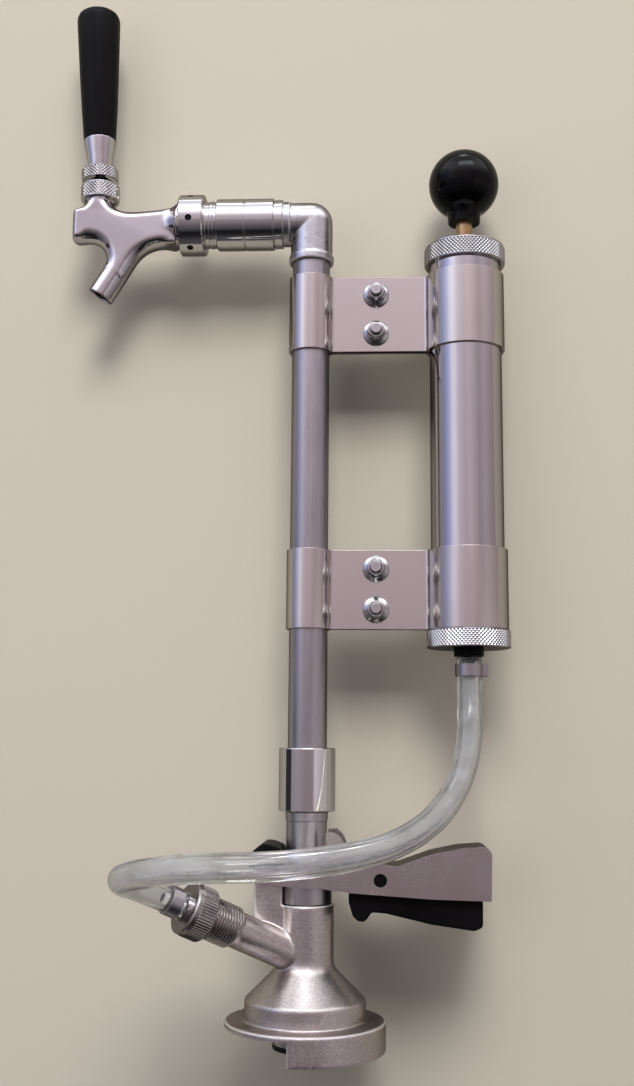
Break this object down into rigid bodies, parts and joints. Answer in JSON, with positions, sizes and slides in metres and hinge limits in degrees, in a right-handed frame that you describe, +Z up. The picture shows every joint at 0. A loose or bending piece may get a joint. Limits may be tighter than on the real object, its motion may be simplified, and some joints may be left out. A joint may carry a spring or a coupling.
{
  "type": "keg party pump",
  "caption": "Hand-pumped keg tap: keg coupler with lever, upright riser with clamped pump, lever tap on an elbow, and a clear gas hose.",
  "frame": {"origin": "on the riser's axis, at the foot of the keg coupler", "axes": "+Z up the riser, +X from the riser to the hand pump, -X to the tap, -Y to the side that the hose passes"},
  "size_m": [0.265, 0.1709, 0.6184],
  "materials": {
    "chrome": "polished chrome plate",
    "stainless_brushed": "brushed",
    "stainless_polished": "polished",
    "cast_satin": "satin casting",
    "knurled_cap": "diamond knurled",
    "zinc_steel": "bright zinc",
    "brass": "turned",
    "black_gloss": "gloss",
    "black_matte": "satin black",
    "grey_plastic": "satin",
    "white_plastic": "satin",
    "black_rubber": "matt",
    "clear_hose": "clear, slightly milky",
    "spring_steel": "bright wire"
  },
  "bodies": {
    "coupler": {"coupler_body": "cast_satin", "body_seal": "black_rubber", "gas_nut": "stainless_brushed", "gas_tailpiece": "chrome", "gas_washer": "white_plastic", "gas_check_valve": "black_rubber", "gas_hose_clamp": "stainless_brushed"},
    "lever": {"lever_handle": "stainless_brushed", "drive_pins": "stainless_brushed", "hinge_pin": "stainless_brushed", "lever_end_cap": "black_matte", "trigger_spring": "spring_steel"},
    "trigger": {"grip_trigger": "black_matte"},
    "plunger": {"pump_rod": "brass", "ball_knob": "black_gloss", "piston_discs": "grey_plastic", "piston_cup": "black_rubber", "piston_nut": "zinc_steel"},
    "tap_lever": {"tap_lever": "stainless_polished", "lever_collar": "chrome", "handle_ferrule": "chrome", "tap_handle": "black_matte"},
    "tap_shaft": {"tap_shaft": "brass", "seat_washer": "black_rubber"},
    "check_ball": {"check_ball": "stainless_polished"},
    "outlet_valve": {"outlet_valve": "black_rubber"},
    "riser": {"hose": "clear_hose", "probe": "stainless_polished", "probe_seal": "black_rubber", "probe_ring": "black_rubber", "ball_retainer": "white_plastic", "beer_washer": "black_rubber", "beer_nut": "chrome", "riser_ferrule": "chrome", "riser_tube": "stainless_brushed", "riser_nipple": "stainless_brushed", "elbow": "chrome", "tap_adapter": "chrome", "tap_gasket": "black_rubber", "coupling_ring": "chrome", "tap_body": "chrome", "bonnet": "chrome", "friction_washer": "white_plastic", "lower_clamp_front": "stainless_brushed", "lower_clamp_back": "stainless_brushed", "upper_clamp_front": "stainless_brushed", "upper_clamp_back": "stainless_brushed", "clamp_bolts": "zinc_steel", "clamp_nuts": "zinc_steel", "clamp_washers": "zinc_steel", "pump_tube": "stainless_polished", "bottom_cap": "knurled_cap", "top_cap": "knurled_cap", "cap_gaskets": "black_rubber", "rod_bush": "black_matte", "outlet_barb": "black_matte", "outlet_hose_clamp": "stainless_brushed", "valve_seat": "grey_plastic", "valve_spring": "spring_steel"}
  },
  "joints": [
    {"name": "probe_slide", "type": "slide", "parent": "coupler", "child": "riser", "axis": [0, 0, 1], "range_m": [0, 0.01608], "deforming": ["hose"]},
    {"name": "lever_hinge", "type": "hinge", "parent": "coupler", "child": "lever", "pos_m": [-0.024, 0, 0.095], "axis": [0, -1, 0], "range_deg": [0, 40.05]},
    {"name": "trigger_hinge", "type": "hinge", "parent": "lever", "child": "trigger", "pos_m": [0.0415, 0, 0.092], "axis": [0, -1, 0], "range_deg": [0, 6], "stiffness_Nm_per_rad": 0.6, "springref_deg": -8.59, "deforming": ["trigger_spring"]},
    {"name": "plunger_slide", "type": "slide", "parent": "riser", "child": "plunger", "axis": [0, 0, 1], "range_m": [0, 0.17]},
    {"name": "tap_hinge", "type": "hinge", "parent": "riser", "child": "tap_lever", "pos_m": [-0.1305, 0, 0.4965], "axis": [0, -1, 0], "range_deg": [0, 24]},
    {"name": "shaft_slide", "type": "slide", "parent": "riser", "child": "tap_shaft", "axis": [1, 0, 0], "range_m": [0, 0.00847]},
    {"name": "ball_lift", "type": "slide", "parent": "riser", "child": "check_ball", "axis": [0, 0, 1], "range_m": [0, 0.004]},
    {"name": "valve_drop", "type": "slide", "parent": "riser", "child": "outlet_valve", "axis": [0, 0, -1], "range_m": [0, 0.0018], "stiffness_N_per_m": 80, "springref_m": -0.003, "deforming": ["valve_spring"]}
  ],
  "couplings": [
    {"joint": "lever_hinge", "follows": "probe_slide", "rad_per_m": 43.424},
    {"joint": "shaft_slide", "follows": "tap_hinge", "m_per_rad": 0.020183}
  ]
}
